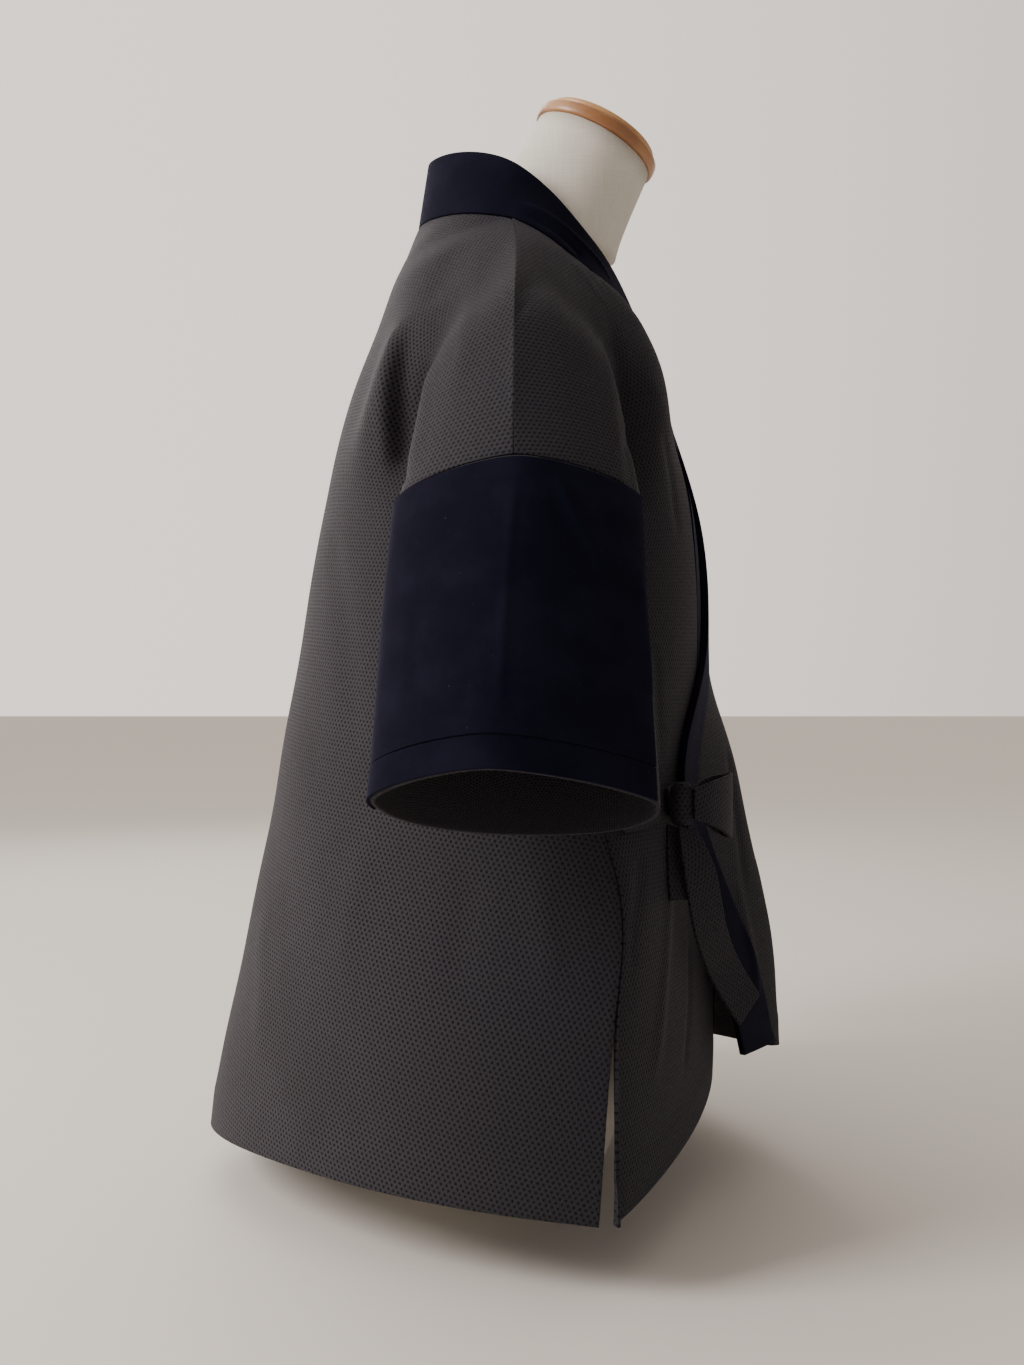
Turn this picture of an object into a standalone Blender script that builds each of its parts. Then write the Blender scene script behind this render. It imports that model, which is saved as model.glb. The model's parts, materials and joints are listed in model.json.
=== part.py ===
"""Samue top of spacer mesh with velvet band and sleeve patches, on a limbless dress form.

The wearer's front is +X, the wearer's right is -Y, and up is +Z. The form's flat base is at z = 0.
Each cloth panel is a grid of points: rows run down the cloth and columns run across it.
A side of the body is worked out as the wearer's right side, and the left side is its mirror.
"""

import math

import bmesh
import bpy
import numpy as np

# Cloth walls and seams
MESH_WALL = 0.003
HEM_WALL = 0.0052
BAND_WALL = 0.0045
PATCH_WALL = 0.0018
SEAM_INSET = 0.0004
LAYER_GAP = 0.0004
BAND_WIDTH = 0.048
HEM_FOLD = 0.025
HEM_STEP = 0.0025

# How finely the panels are divided
NECK_STEPS = 5
RIDGE_STEPS = 14
ARMHOLE_STEPS = 12
SIDE_STEPS = 14
SLEEVE_STEPS = 8
NORMAL_ROUNDS = 2

# Body of the garment at each height: how far back and forward it reaches, where its side seam
# lies, its half width, and how square its back and front are (2 is an ellipse)
BODY = {
    "height": (0.050, 0.184, 0.250, 0.300, 0.342, 0.400, 0.504, 0.560, 0.600, 0.650, 0.700, 0.790),
    "back": (
        -0.252, -0.224, -0.210, -0.200, -0.192, -0.181, -0.163, -0.153, -0.143, -0.128, -0.109, -0.078,
    ),
    "seam": (0.063, 0.068, 0.074, 0.063, 0.051, 0.034, 0.005, 0.004, 0.004, 0.004, 0.004, 0.004),
    "half": (0.273, 0.262, 0.249, 0.238, 0.228, 0.214, 0.192, 0.188, 0.185, 0.182, 0.178, 0.160),
    "front": (0.167, 0.169, 0.159, 0.152, 0.151, 0.155, 0.154, 0.147, 0.135, 0.118, 0.102, 0.070),
    "back_square": (1.75, 1.85, 1.90, 1.95, 2.00, 2.10, 2.25, 2.25, 2.20, 2.15, 2.10, 2.10),
    "front_square": (1.25, 1.27, 1.30, 1.38, 1.50, 1.80, 2.10, 2.20, 2.20, 2.20, 2.20, 2.20),
}

# Hem and underarm heights
HEM_HEIGHT = 0.050
HEM_RISE, HEM_SAG = 0.007, 0.018
SLIT_TOP = 0.180
SLIT_SPREAD = 0.006
BACK_NECK = 0.787
BACK_UNDERARM = 0.580
FRONT_UNDERARM = 0.560

# Neckline and collar on one side, from the centre of the back: where the band is sewn on,
# and its free top edge
NECKLINE = {
    "sewn_x": (-0.080, -0.072, -0.055, -0.036, -0.017, 0.000),
    "sewn_y": (0.000, -0.027, -0.052, -0.070, -0.080, -0.085),
    "sewn_z": (0.787, 0.786, 0.783, 0.779, 0.774, 0.770),
    "top_x": (-0.072, -0.064, -0.047, -0.028, -0.012, 0.003),
    "top_y": (0.000, -0.022, -0.043, -0.057, -0.065, -0.068),
    "top_z": (0.842, 0.841, 0.838, 0.833, 0.827, 0.820),
}

# Front neckline on one side, from the shoulder (0) to the underarm's level (1)
LAPEL = {
    "down": (0.00, 0.12, 0.25, 0.50, 0.75, 1.00),
    "sewn_x": (0.000, 0.025, 0.046, 0.078, 0.108, 0.137),
    "sewn_y": (-0.085, -0.085, -0.081, -0.072, -0.069, -0.066),
    "sewn_z": (0.770, 0.758, 0.742, 0.712, 0.648, 0.560),
    "top_x": (0.003, 0.029, 0.053, 0.086, 0.120, 0.147),
    "top_y": (-0.068, -0.066, -0.058, -0.036, -0.026, -0.018),
    "top_z": (0.820, 0.800, 0.775, 0.736, 0.656, 0.562),
}
OUTER_SHIFT = 0.018

# How far across the middle each front's sewn edge lies below the underarm (own side is negative)
UNDER_EDGE = {
    "height": (0.080, 0.300, 0.342, 0.400, 0.450, 0.500, 0.560),
    "across": (0.000, -0.030, -0.050, -0.070, -0.077, -0.075, -0.066),
}
OUTER_EDGE = {
    "height": (0.100, 0.200, 0.250, 0.300, 0.342, 0.389, 0.426, 0.460, 0.500, 0.560),
    "across": (0.014, 0.047, 0.067, 0.077, 0.077, 0.052, 0.016, -0.002, -0.020, -0.048),
}
# How far the outer front stands away from the under one, and how far past the middle
OUTER_LIFT = {
    "height": (0.100, 0.146, 0.193, 0.252, 0.295, 0.338, 0.376, 0.406, 0.430, 0.470),
    "lift": (0.052, 0.049, 0.046, 0.043, 0.040, 0.033, 0.019, 0.006, 0.001, 0.000),
    "reach": (0.115, 0.110, 0.105, 0.100, 0.090, 0.080, 0.070, 0.060, 0.060, 0.060),
}
OUTER_LAYER = 0.0065
UNDER_HEM_EDGE = 0.076
OUTER_HEM_EDGE = 0.102

# Shoulder: the ridge from the neck to the sleeve seam, and the arm's tube below it
RIDGE = {
    "x": (0.000, 0.003, 0.003, 0.002, 0.001, 0.001),
    "y": (-0.085, -0.120, -0.163, -0.210, -0.246, -0.280),
    "z": (0.770, 0.748, 0.717, 0.677, 0.620, 0.551),
}
TIP_MIDDLE = (0.003, -0.170, 0.656)
SEAM_MIDDLE = (0.004, -0.236, 0.5275)
CUFF_MIDDLE = (0.002, -0.315, 0.3285)
ACROSS_ARM = (0.0, 0.8800, -0.4750)
TIP_DEPTH, SEAM_DEPTH, CUFF_DEPTH = 0.0450, 0.0500, 0.0512
TIP_BACK, SEAM_BACK, CUFF_BACK = 0.056, 0.081, 0.089
TIP_FRONT, SEAM_FRONT, CUFF_FRONT = 0.064, 0.082, 0.089
CUFF_SKEW = -0.016
CREASE_SQUARE = 1.45
SEAM_UNDER_SQUARE, CUFF_UNDER_SQUARE = 1.70, 2.30
UNDERARM_DIP = 0.032
DIP_SHARE = 0.30
# Beside the body the sleeve's underside stands off by a wall and a gap. The stand-off grows
# between two angles round the tube and fades out down the sleeve.
STAND_OFF = 0.0042
STAND_FROM, STAND_TO = math.radians(92), math.radians(140)
STAND_FADE = 0.45

# Folds at the armhole, from the ridge (0) to the underarm (1): the raised edge of the body
# panel, how deep the valley beside it is, and where the arm's tube takes over
BACK_FOLD = {
    "down": (0.00, 0.25, 0.50, 0.75, 1.00),
    "x": (0.003, -0.052, -0.086, -0.096, -0.090),
    "y": (-0.150, -0.153, -0.158, -0.168, -0.178),
    "z": (0.727, 0.690, 0.645, 0.597, 0.550),
    "valley": (0.000, 0.006, 0.020, 0.024, 0.010),
    "tube": (0.04, 0.12, 0.28, 0.50, 0.85),
}
FRONT_FOLD = {
    "down": (0.00, 0.25, 0.50, 0.75, 1.00),
    "x": (0.003, 0.056, 0.090, 0.108, 0.110),
    "y": (-0.150, -0.142, -0.140, -0.145, -0.150),
    "z": (0.727, 0.694, 0.650, 0.600, 0.545),
    "valley": (0.000, 0.004, 0.012, 0.014, 0.006),
    "tube": (0.04, 0.12, 0.28, 0.50, 0.85),
}
BLEND_FROM = 0.60
SEAM_HOLD = 10

# Sleeve patch and cuff band, in columns and rows of the sleeve's own grid. A column is a
# twelfth of half a turn from the outer crease, and the patch's top corners are rounded.
PATCH_BACK, PATCH_FRONT = 6.5, 5.5
PATCH_ROWS = (0.10, 0.25, 0.50, 1.0, 2.0, 3.0, 4.0, 5.0, 6.0, 7.0, 7.18)
PATCH_CORNER = (0.62, 0.25, 0.06)
CUFF_ROWS = (7.20, 7.60, 8.0)

# Ties: two lie on the under front, and the rest are strips through sections, each with its
# middle and its width
TIE_WALL = 0.0028
SIDE_LIFT, FRONT_LIFT = 0.0009, 0.0005
TIE_HEIGHT = 0.3155
SIDE_TIE = {
    "across": (-0.2290, -0.2150, -0.2000, -0.1860, -0.1785),
    "width": (0.030, 0.029, 0.028, 0.025, 0.022),
}
FRONT_TIE = {
    "across": (-0.1325, -0.1400, -0.1480, -0.1545),
    "width": (0.026, 0.025, 0.023, 0.020),
}
KNOT_MIDDLE = (0.1235, -0.1670, 0.3155)
KNOT_HALF = (0.0085, 0.0095, 0.0165)
KNOT_FACE = math.radians(-52)
LOOP = {
    "x": (0.1316, 0.1440, 0.1570, 0.1650, 0.1670, 0.1610, 0.1510, 0.1390, 0.1335),
    "y": (-0.1733, -0.1640, -0.1460, -0.1280, -0.1150, -0.1110, -0.1220, -0.1420, -0.1545),
    "z": (0.3160, 0.3160, 0.3140, 0.3110, 0.3100, 0.3110, 0.3140, 0.3160, 0.3160),
    "width": (0.022, 0.030, 0.040, 0.048, 0.050, 0.046, 0.038, 0.028, 0.020),
}
SHORT_TAIL = {
    "x": (0.1180, 0.1190, 0.1205, 0.1215),
    "y": (-0.1660, -0.1730, -0.1790, -0.1820),
    "z": (0.2985, 0.2880, 0.2680, 0.2480),
    "width": (0.014, 0.019, 0.023, 0.024),
}
LONG_TAIL = {
    "x": (0.1262, 0.1300, 0.1365, 0.1450, 0.1600, 0.1820),
    "y": (-0.1722, -0.1800, -0.1780, -0.1640, -0.1390, -0.1140),
    "z": (0.2985, 0.2850, 0.2600, 0.2230, 0.1880, 0.1530),
    "width": (0.016, 0.023, 0.030, 0.031, 0.030, 0.030),
}
TIE_FACE = (0.55, -0.83, 0.05)

# Dress form: rings from its base to its neck
FORM = {
    "height": (
        0.000, 0.010, 0.060, 0.150, 0.250, 0.340, 0.430, 0.520, 0.600, 0.650, 0.684, 0.711, 0.738, 0.759,
    ),
    "back": (
        -0.090, -0.100, -0.114, -0.124, -0.114, -0.097, -0.104,
        -0.116, -0.116, -0.108, -0.098, -0.084, -0.070, -0.058,
    ),
    "front": (
        0.066, 0.076, 0.090, 0.100, 0.098, 0.091, 0.104, 0.122, 0.106, 0.088, 0.076, 0.066, 0.062, 0.062,
    ),
    "half": (
        0.112, 0.126, 0.150, 0.164, 0.150, 0.128, 0.142, 0.156, 0.158, 0.160, 0.162, 0.158, 0.128, 0.092,
    ),
    "square": (2.3, 2.3, 2.3, 2.2, 2.2, 2.2, 2.2, 2.2, 2.1, 1.8, 1.6, 1.4, 1.4, 1.6),
}
FORM_RING_STEPS = 40
NECK_LEAN = math.radians(27)
NECK_TOP = (0.069, 0.0, 0.858)
NECK_LENGTH = 0.105
NECK_RINGS = {
    "share": (0.14, 0.42, 1.00),
    "deep": (0.062, 0.056, 0.0525),
    "half": (0.055, 0.053, 0.0525),
    "lean": (0.5, 0.9, 1.0),
}
CAP_RADIUS, CAP_THICK, CAP_ROUND = 0.0555, 0.0105, 0.003
DOME_RADIUS, DOME_THICK, DOME_ROUND = 0.0505, 0.0085, 0.003
CAP_GAP = 0.0003

# Colours, roughness and metallic value of each material
FINISHES = {
    "spacer_mesh": ((0.012, 0.012, 0.018), 0.85, 0.0),
    "velvet": ((0.004, 0.004, 0.012), 0.75, 0.0),
    "form_cloth": ((0.62, 0.58, 0.51), 0.90, 0.0),
    "beech": ((0.48, 0.22, 0.07), 0.45, 0.0),
}


def track(table, key, value):
    """Returns a function that reads one column of a table smoothly along another."""
    xs = np.array(table[key], float)
    ys = np.array(table[value], float)
    slopes = np.gradient(ys, xs)

    def read(x):
        x = float(np.clip(x, xs[0], xs[-1]))
        i = int(np.clip(np.searchsorted(xs, x) - 1, 0, len(xs) - 2))
        span = xs[i + 1] - xs[i]
        t = (x - xs[i]) / span
        start = (1 + 2 * t) * (1 - t) ** 2 * ys[i] + t * (1 - t) ** 2 * span * slopes[i]
        end = t * t * (3 - 2 * t) * ys[i + 1] + t * t * (t - 1) * span * slopes[i + 1]
        return start + end

    return read


def point_track(table, key, names):
    """Returns a function that reads a point from three columns of a table."""
    reads = [track(table, key, name) for name in names]
    return lambda x: np.array([read(x) for read in reads])


def through(points, marks):
    """Returns a smooth curve through points, each at its own mark."""
    table = {"mark": marks}
    for axis, name in enumerate("xyz"):
        table[name] = [point[axis] for point in points]
    return point_track(table, "mark", "xyz")


def ease(x, low, high):
    t = min(max((x - low) / (high - low), 0.0), 1.0)
    return t * t * (3 - 2 * t)


body = {name: track(BODY, "height", name) for name in BODY if name != "height"}


def even(table):
    """Adds equal marks from 0 to 1 to a table of points."""
    count = len(next(iter(table.values())))
    return {"mark": np.linspace(0, 1, count), **table}


neck_sewn = point_track(even(NECKLINE), "mark", ("sewn_x", "sewn_y", "sewn_z"))
neck_top = point_track(even(NECKLINE), "mark", ("top_x", "top_y", "top_z"))
lapel_sewn = point_track(LAPEL, "down", ("sewn_x", "sewn_y", "sewn_z"))
lapel_top = point_track(LAPEL, "down", ("top_x", "top_y", "top_z"))
ridge = point_track(even(RIDGE), "mark", "xyz")
under_edge = track(UNDER_EDGE, "height", "across")
outer_edge = track(OUTER_EDGE, "height", "across")
outer_lift = track(OUTER_LIFT, "height", "lift")
outer_reach = track(OUTER_LIFT, "height", "reach")


def back_point(height, turn):
    """A point of the back: turn is 0 at the centre and 1 at the side seam."""
    angle = math.pi / 2 * turn
    power = 2 / body["back_square"](height)
    reach = body["back"](height) - body["seam"](height)
    x = body["seam"](height) + reach * math.cos(angle) ** power
    return np.array([x, -body["half"](height) * math.sin(angle) ** power, height])


def front_x(height, across, outer, settle=1.0):
    """How far forward the front lies at a place across the body (own side is negative)."""
    square = body["front_square"](height)
    half = body["half"](height)
    share = min(abs(across) / half, 1.0)
    x = body["seam"](height)
    x += (body["front"](height) - x) * (1 - share ** square) ** (1 / square)
    if outer:
        own = 1 - share ** 3 if across < 0 else 1.0
        near = 1 - share ** 2 if across < 0 else max(0.0, 1 - across / outer_reach(height))
        x += settle * (OUTER_LAYER * own + outer_lift(height) * near)
    return x


def dip(share, turn):
    """How far a row sags below the sleeve seam beside the side seam (turn 1)."""
    return UNDERARM_DIP * max(0.0, 1 - share / DIP_SHARE) ** 2 * math.sin(math.pi * turn ** 3)


def front_row(low_side, low_edge, edge_across, outer, settle, steps, share=0.0):
    """One row across a front, from its side seam to its sewn edge."""
    row = []
    half = body["half"](low_edge)
    power = body["front_square"](low_edge) / 2
    cosine = min(abs(edge_across) / half, 1.0) ** power
    last = math.acos(cosine if edge_across < 0 else -cosine)
    for step in range(steps + 1):
        turn = step / steps
        height = low_side + (low_edge - low_side) * turn ** 1.2 - dip(share, 1 - turn)
        angle = last * turn
        squared = 2 / body["front_square"](height)
        across = -body["half"](height) * math.copysign(abs(math.cos(angle)) ** squared, math.cos(angle))
        if step == steps:
            across = edge_across
        row.append([front_x(height, across, outer, settle), across, height])
    return np.array(row)


def ring_point(middle, back, front, depth, skew, under, angle):
    """A point of the arm's tube: angle is 0 at the outer crease, positive towards the back."""
    square = CREASE_SQUARE if math.cos(angle) > 0 else under
    power = 2 / square
    side = -back if angle > 0 else front
    x = side * abs(math.sin(angle)) ** power + skew * math.cos(angle)
    out = -depth * math.copysign(abs(math.cos(angle)) ** power, math.cos(angle))
    return np.array(middle) + np.array([x, 0, 0]) + out * np.array(ACROSS_ARM)


def mix(a, b, t):
    return a + (b - a) * t


def arm_point(along, angle):
    """A point of the tube above the sleeve seam: along is 0 at the shoulder tip, 1 at the seam."""
    middle = mix(np.array(TIP_MIDDLE), np.array(SEAM_MIDDLE), along)
    return ring_point(
        middle,
        mix(TIP_BACK, SEAM_BACK, along),
        mix(TIP_FRONT, SEAM_FRONT, along),
        mix(TIP_DEPTH, SEAM_DEPTH, along),
        0.0,
        SEAM_UNDER_SQUARE,
        angle,
    )


def sleeve_point(along, angle):
    """A point of the sleeve: along is 0 at the seam and 1 at the cuff."""
    middle = mix(np.array(SEAM_MIDDLE), np.array(CUFF_MIDDLE), along)
    return ring_point(
        middle,
        mix(SEAM_BACK, CUFF_BACK, along),
        mix(SEAM_FRONT, CUFF_FRONT, along),
        mix(SEAM_DEPTH, CUFF_DEPTH, along),
        CUFF_SKEW * along,
        mix(SEAM_UNDER_SQUARE, CUFF_UNDER_SQUARE, along),
        angle,
    )


def armhole_row(fold, down, towards, inner, sign):
    """Stations across the shoulder from the inner panel to the sleeve seam."""
    angle = sign * math.pi * down
    tube = track(fold, "down", "tube")(down)
    raised = point_track(fold, "down", "xyz")(down)
    start = arm_point(tube, angle)
    valley = (raised + start) / 2
    depth = track(fold, "down", "valley")(down)
    valley = valley + depth * np.array([sign * 0.9, 0.45, 0.0])
    points = [*inner, raised, valley, start, arm_point((1 + tube) / 2, angle), arm_point(1.0, angle)]
    return through(points, towards)


BACK_MARKS = (0.00, 0.16, 0.32, 0.50, 0.60, 0.70, 0.85, 1.00)
FRONT_MARKS = (0.00, 0.24, 0.44, 0.57, 0.70, 0.85, 1.00)
NECK_SHARE = 0.26


def back_columns():
    neck = [NECK_SHARE * i / NECK_STEPS for i in range(NECK_STEPS)]
    rest = [NECK_SHARE + (1 - NECK_SHARE) * i / RIDGE_STEPS for i in range(RIDGE_STEPS + 1)]
    return neck + rest


def back_upper_row(down):
    """One row of the half back above the underarm, from the centre to the sleeve seam."""
    columns = back_columns()
    centre = mix(BACK_NECK, BACK_UNDERARM, down)
    side = body_side_height(down)
    plain = [back_point(mix(centre, side, c ** 1.6) - dip(0.0, c), c) for c in columns]
    if down == 0:
        row = [neck_sewn(c / NECK_SHARE) for c in columns[:NECK_STEPS]]
        row += [ridge((c - NECK_SHARE) / (1 - NECK_SHARE)) for c in columns[NECK_STEPS:]]
        return np.array(row)
    if down == 1:
        return np.array(plain)
    fold = point_track(BACK_FOLD, "down", "xyz")(down)
    inner = []
    for share in (0.0, 0.36, 0.72):
        across = fold[1] * share
        height = mix(centre, fold[2], share ** 2)
        square = body["back_square"](height)
        ratio = abs(across) / body["half"](height)
        reach = (body["back"](height) - body["seam"](height)) * (1 - ratio ** square) ** (1 / square)
        inner.append(np.array([body["seam"](height) + reach, across, height]))
    curve = armhole_row(BACK_FOLD, down, BACK_MARKS, inner, 1)
    top = back_upper_row(0)
    row = []
    for i, c in enumerate(columns):
        shaped = curve(c)
        shaped = mix(shaped, plain[i], ease(down, BLEND_FROM, 1.0) * (1 - c ** SEAM_HOLD))
        rise = 1 - ease(down, 0.0, 0.30)
        drop = top[i] + (curve(c) - top[i]) * ease(down, -0.10, 0.34)
        row.append(mix(shaped, drop, rise * (1 - c ** 8)))
    return np.array(row)


def body_side_height(down):
    """Height of the side of the body beside the armhole."""
    return SEAM_MIDDLE[2] + SEAM_DEPTH * ACROSS_ARM[2] + (1 - down) * 0.05


def front_upper_row(down, outer):
    """One row of a front above the underarm, from the sleeve seam to the sewn edge."""
    columns = [1 - i / RIDGE_STEPS for i in range(RIDGE_STEPS + 1)]
    if down == 0:
        return np.array([ridge(c) for c in columns])
    sewn = lapel_sewn(down)
    settle = ease(down, 0.45, 1.0)
    if outer:
        sewn[1] += OUTER_SHIFT * settle
    plain = front_row(body_side_height(down), sewn[2], sewn[1], outer, settle, RIDGE_STEPS)
    if down == 1:
        return plain
    fold = point_track(FRONT_FOLD, "down", "xyz")(down)
    chest = mix(sewn, fold, 0.5)
    chest = chest + np.array([0.016 * ease(down, 0.0, 0.5), 0.0, 0.004 * (1 - down)])
    curve = armhole_row(FRONT_FOLD, down, FRONT_MARKS, [sewn, chest], -1)
    row = []
    for i, c in enumerate(columns):
        shaped = mix(curve(c), plain[i], ease(down, BLEND_FROM, 1.0) * (1 - c ** SEAM_HOLD))
        if outer:
            lift = OUTER_LAYER * settle * (1 - c) * (1 - ease(down, BLEND_FROM, 1.0))
            shaped = shaped + np.array([lift, 0, 0])
        row.append(shaped)
    return np.array(row)


def side_heights(hem):
    """Heights of the rows below the underarm, down to the hem's fold and its edge."""
    top = body_side_height(1.0)
    fold = hem + HEM_FOLD
    rows = [mix(top, fold + HEM_STEP, i / SIDE_STEPS) for i in range(1, SIDE_STEPS + 1)]
    return rows + [fold, hem]


def lower_share(height):
    """How far a side height is from the underarm (0) to the hem (1)."""
    top = body_side_height(1.0)
    return (top - height) / (top - HEM_HEIGHT)


def half_back():
    """The wearer's right half of the back, from the centre to the side."""
    rows = [back_upper_row(i / ARMHOLE_STEPS) for i in range(ARMHOLE_STEPS + 1)]
    for height in side_heights(HEM_HEIGHT):
        share = lower_share(height)
        centre = mix(BACK_UNDERARM, HEM_HEIGHT, share)
        row = []
        for c in back_columns():
            rise = (HEM_RISE * math.sin(math.pi * c) - HEM_SAG * (1 - c) ** 3) * share ** 3
            row.append(back_point(mix(centre, height, c ** 1.6) - dip(share, c) + rise, c))
        opened = max(0.0, SLIT_TOP - height) / (SLIT_TOP - HEM_HEIGHT)
        row[-1] = row[-1] + np.array([-SLIT_SPREAD * opened, 0, 0])
        rows.append(np.array(row))
    return np.array(rows)


def front(outer):
    """A front on the wearer's right side, from its side seam to its sewn edge."""
    rows = [front_upper_row(i / ARMHOLE_STEPS, outer) for i in range(ARMHOLE_STEPS + 1)]
    edge = outer_edge if outer else under_edge
    edge_hem = OUTER_HEM_EDGE if outer else UNDER_HEM_EDGE
    for height in side_heights(HEM_HEIGHT):
        share = lower_share(height)
        sewn = mix(FRONT_UNDERARM, edge_hem, share)
        row = front_row(height, sewn, edge(sewn), outer, 1.0, RIDGE_STEPS, share)
        opened = max(0.0, SLIT_TOP - height) / (SLIT_TOP - HEM_HEIGHT)
        row[0] = row[0] + np.array([SLIT_SPREAD * opened, 0, 0])
        rows.append(row)
    return np.array(rows)


def sleeve():
    """The sleeve's grid: rows down from the seam, columns round it from the underarm."""
    rows = []
    for i in range(SLEEVE_STEPS + 1):
        along = i / SLEEVE_STEPS
        turns = [math.pi * j / ARMHOLE_STEPS for j in range(ARMHOLE_STEPS, -ARMHOLE_STEPS, -1)]
        fade = STAND_OFF * (1 - ease(along, 0.0, STAND_FADE))
        row = [sleeve_point(along, turn) for turn in turns]
        for point, turn in zip(row, turns):
            point[1] -= fade * ease(abs(turn), STAND_FROM, STAND_TO)
        rows.append(row)
    return np.array(rows)


def normals(grid, inside, closed=False):
    """Directions out of a grid of points, away from the points inside it."""
    if closed:
        wide = np.concatenate([grid[:, -1:], grid, grid[:, :1]], axis=1)
        across = wide[:, 2:] - wide[:, :-2]
    else:
        across = np.gradient(grid, axis=1)
    down = np.gradient(grid, axis=0)
    out = np.cross(down, across)
    out /= np.maximum(np.linalg.norm(out, axis=2, keepdims=True), 1e-12)
    if np.sum(out * (grid - inside)) < 0:
        out = -out
    return out if closed else evened(out)


def evened(out):
    """Directions averaged with their neighbours', so that a tight fold's wall doesn't cross itself."""
    for _ in range(NORMAL_ROUNDS):
        padded = np.pad(out, ((1, 1), (1, 1), (0, 0)), mode="edge")
        sums = 0
        for i in range(3):
            for j in range(3):
                sums = sums + padded[i:i + out.shape[0], j:j + out.shape[1]]
        out = sums / np.linalg.norm(sums, axis=2, keepdims=True)
    return out


def share_normals(pieces):
    """Gives points that two panels share the same direction, so their seam's walls are parallel."""
    sums = {}
    for grid, out in pieces:
        for point, way in zip(grid.reshape(-1, 3), out.reshape(-1, 3)):
            key = tuple(np.round(point, 5))
            sums[key] = sums.get(key, 0) + way
    for grid, out in pieces:
        flat = out.reshape(-1, 3)
        for i, point in enumerate(grid.reshape(-1, 3)):
            way = sums[tuple(np.round(point, 5))]
            flat[i] = way / np.linalg.norm(way)


def inset(grid, edges):
    """Draws the named edges of a grid in by the seam's gap."""
    grid = grid.copy()
    ends = {"top": (0, 1), "bottom": (-1, -2)}
    for name, (edge, inner) in ends.items():
        if name in edges:
            way = grid[inner] - grid[edge]
            grid[edge] += SEAM_INSET * way / np.linalg.norm(way, axis=1, keepdims=True)
    sides = {"left": (0, 1), "right": (-1, -2)}
    for name, (edge, inner) in sides.items():
        if name in edges:
            way = grid[:, inner] - grid[:, edge]
            grid[:, edge] += SEAM_INSET * way / np.linalg.norm(way, axis=1, keepdims=True)
    return grid


def finish(name):
    """The Principled material of one finish, made once."""
    if name in bpy.data.materials:
        return bpy.data.materials[name]
    colour, roughness, metallic = FINISHES[name]
    material = bpy.data.materials.new(name)
    material.use_nodes = True
    shader = material.node_tree.nodes["Principled BSDF"]
    shader.inputs["Base Color"].default_value = (*colour, 1)
    shader.inputs["Roughness"].default_value = roughness
    shader.inputs["Metallic"].default_value = metallic
    return material


def add_mesh(name, verts, faces, material, smooth_angle=40):
    mesh = bpy.data.meshes.new(name)
    mesh.from_pydata([tuple(map(float, v)) for v in verts], [], faces)
    work = bmesh.new()
    work.from_mesh(mesh)
    bmesh.ops.remove_doubles(work, verts=work.verts, dist=1e-7)
    bmesh.ops.recalc_face_normals(work, faces=work.faces)
    work.to_mesh(mesh)
    work.free()
    mesh.shade_smooth()
    mesh.set_sharp_from_angle(angle=math.radians(smooth_angle))
    mesh.materials.append(finish(material))
    piece = bpy.data.objects.new(name, mesh)
    bpy.context.scene.collection.objects.link(piece)
    return piece


def wall(name, grid, out, inner, outer, material, closed=False):
    """A closed wall of cloth: a grid of points moved in and out along its directions."""
    inner = np.broadcast_to(np.asarray(inner, float), grid.shape[:2])
    outer = np.broadcast_to(np.asarray(outer, float), grid.shape[:2])
    rows, columns = grid.shape[:2]
    low = grid - out * inner[..., None]
    high = grid + out * outer[..., None]
    verts = list(low.reshape(-1, 3)) + list(high.reshape(-1, 3))
    top = rows * columns

    def at(r, c, layer):
        return layer * top + r * columns + c % columns

    faces = []
    spans = columns if closed else columns - 1
    for layer in (0, 1):
        for r in range(rows - 1):
            for c in range(spans):
                corners = [(r, c), (r, c + 1), (r + 1, c + 1), (r + 1, c)]
                faces.append([at(*corner, layer) for corner in corners])
    for c in range(spans):
        for r in (0, rows - 1):
            faces.append([at(r, c, 0), at(r, c + 1, 0), at(r, c + 1, 1), at(r, c, 1)])
    if not closed:
        for r in range(rows - 1):
            for c in (0, columns - 1):
                faces.append([at(r, c, 0), at(r + 1, c, 0), at(r + 1, c, 1), at(r, c, 1)])
    return add_mesh(name, verts, faces, material)


def mirrored(grid):
    return grid * np.array([1.0, -1.0, 1.0])


def spine(grid):
    """Points inside the body, level with a grid's points."""
    inside = np.zeros_like(grid)
    inside[..., 2] = grid[..., 2]
    inside[..., 0] = 0.01
    return inside


def hem_walls(grid):
    """Half thickness of a panel, thicker over the folded hem."""
    half = np.full(grid.shape[:2], MESH_WALL / 2)
    half[-2:] = HEM_WALL / 2
    return half


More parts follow.
